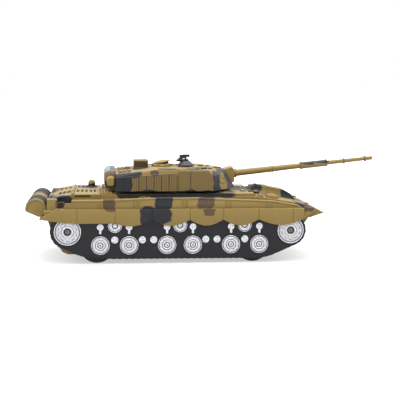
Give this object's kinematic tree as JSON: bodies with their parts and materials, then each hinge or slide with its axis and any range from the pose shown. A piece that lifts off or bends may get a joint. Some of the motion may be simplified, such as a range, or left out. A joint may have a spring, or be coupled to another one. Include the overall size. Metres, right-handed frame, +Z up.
{
  "type": "rc tank",
  "caption": "Radio-controlled toy battle tank: camouflaged shell, turning turret, elevating barrel, roof gun, silver-faced track fairings and hidden powered wheels.",
  "frame": {"origin": "on the ground under the middle of the whole model, halfway between the back of the fuel drums and the muzzle", "axes": "+X forward, towards the muzzle; +Y the tank's left; +Z up"},
  "size_m": [0.3667, 0.1206, 0.1053],
  "materials": {
    "camo_shell": "moulded sand-tan ABS with sprayed dark-grey and brown camouflage, satin",
    "black_plastic": "moulded black ABS, semi-gloss",
    "silver_foil": "silver hot-stamping foil on the raised wheel faces",
    "tyre_rubber": "soft black rubber",
    "steel": "zinc-plated steel",
    "motor_can": "drawn steel can",
    "natural_nylon": "natural white nylon",
    "circuit_laminate": "green solder mask",
    "battery_wrap": "blue shrink wrap"
  },
  "bodies": {
    "hull": {"upper_hull": "camo_shell", "lower_hull": "camo_shell", "engine_deck": "camo_shell", "ventilator_cap": "camo_shell", "skirt_right": "camo_shell", "skirt_left": "camo_shell", "track_fairing_right": "black_plastic", "track_fairing_left": "black_plastic", "fuel_drum_right": "camo_shell", "fuel_drum_left": "camo_shell", "battery_door": "camo_shell", "battery_door_screw": "steel", "battery_pack": "battery_wrap", "circuit_board": "circuit_laminate", "switch_body": "black_plastic", "fairing_screw_rear_right": "steel", "fairing_screw_rear_left": "steel", "fairing_screw_front_right": "steel", "fairing_screw_front_left": "steel", "hull_screw_rear": "steel", "hull_screw_front": "steel", "motor_right": "motor_can", "motor_left": "motor_can", "gearbox_frame_right": "natural_nylon", "gearbox_frame_left": "natural_nylon", "front_axle": "steel"},
    "turret": {"turret_shell": "camo_shell", "turret_base": "camo_shell", "turret_retainer": "black_plastic", "turret_panel_right": "camo_shell", "turret_panel_left": "camo_shell", "turret_side_right": "camo_shell", "turret_side_left": "camo_shell", "turret_rear_bin": "camo_shell", "gunner_sight": "camo_shell", "commander_cupola": "camo_shell", "loader_cupola": "camo_shell", "trunnion_pin": "steel"},
    "gun": {"gun_mantlet": "camo_shell", "gun_barrel": "camo_shell"},
    "machine_gun": {"mg_cradle": "black_plastic", "machine_gun": "black_plastic"},
    "switch": {"power_switch": "black_plastic"},
    "rear_wheel_right": {"tyre_rear_right": "tyre_rubber", "wheel_rear_right": "black_plastic", "axle_rear_right": "steel", "final_gear_right": "natural_nylon"},
    "compound_gear_right": {"compound_gear_right": "natural_nylon"},
    "motor_pinion_right": {"motor_pinion_right": "natural_nylon"},
    "front_wheel_right": {"tyre_front_right": "tyre_rubber", "wheel_front_right": "black_plastic"},
    "rear_wheel_left": {"tyre_rear_left": "tyre_rubber", "wheel_rear_left": "black_plastic", "axle_rear_left": "steel", "final_gear_left": "natural_nylon"},
    "compound_gear_left": {"compound_gear_left": "natural_nylon"},
    "motor_pinion_left": {"motor_pinion_left": "natural_nylon"},
    "front_wheel_left": {"tyre_front_left": "tyre_rubber", "wheel_front_left": "black_plastic"}
  },
  "joints": [
    {"name": "turret_yaw", "type": "hinge", "parent": "hull", "child": "turret", "pos_m": [-0.033, 0, 0.0712], "axis": [0, 0, 1], "range_deg": [-160, 160]},
    {"name": "gun_elevation", "type": "hinge", "parent": "turret", "child": "gun", "pos_m": [0.005, 0, 0.083], "axis": [0, -1, 0], "range_deg": [-5, 9]},
    {"name": "mg_swivel", "type": "hinge", "parent": "turret", "child": "machine_gun", "pos_m": [-0.018, 0.008, 0.0985], "axis": [0, 0, 1], "range_deg": [-120, 120]},
    {"name": "power_switch_slide", "type": "slide", "parent": "hull", "child": "switch", "axis": [1, 0, 0], "range_m": [0, 0.004]},
    {"name": "rear_wheel_spin_right", "type": "hinge", "parent": "hull", "child": "rear_wheel_right", "pos_m": [-0.112, -0.05065, 0.018], "axis": [0, 1, 0], "continuous": true},
    {"name": "compound_gear_spin_right", "type": "hinge", "parent": "hull", "child": "compound_gear_right", "pos_m": [-0.10429, -0.027, 0.02719], "axis": [0, 1, 0], "continuous": true},
    {"name": "motor_spin_right", "type": "hinge", "parent": "hull", "child": "motor_pinion_right", "pos_m": [-0.08853, -0.027, 0.02997], "axis": [0, 1, 0], "continuous": true},
    {"name": "front_wheel_spin_right", "type": "hinge", "parent": "hull", "child": "front_wheel_right", "pos_m": [0.046, -0.05065, 0.018], "axis": [0, 1, 0], "continuous": true},
    {"name": "rear_wheel_spin_left", "type": "hinge", "parent": "hull", "child": "rear_wheel_left", "pos_m": [-0.112, 0.05065, 0.018], "axis": [0, 1, 0], "continuous": true},
    {"name": "compound_gear_spin_left", "type": "hinge", "parent": "hull", "child": "compound_gear_left", "pos_m": [-0.10429, 0.027, 0.02719], "axis": [0, 1, 0], "continuous": true},
    {"name": "motor_spin_left", "type": "hinge", "parent": "hull", "child": "motor_pinion_left", "pos_m": [-0.08853, 0.027, 0.02997], "axis": [0, 1, 0], "continuous": true},
    {"name": "front_wheel_spin_left", "type": "hinge", "parent": "hull", "child": "front_wheel_left", "pos_m": [0.046, 0.05065, 0.018], "axis": [0, 1, 0], "continuous": true}
  ],
  "couplings": [
    {"joint": "compound_gear_spin_right", "follows": "rear_wheel_spin_right", "ratio": -2},
    {"joint": "motor_spin_right", "follows": "rear_wheel_spin_right", "ratio": 6},
    {"joint": "compound_gear_spin_left", "follows": "rear_wheel_spin_left", "ratio": -2},
    {"joint": "motor_spin_left", "follows": "rear_wheel_spin_left", "ratio": 6}
  ]
}
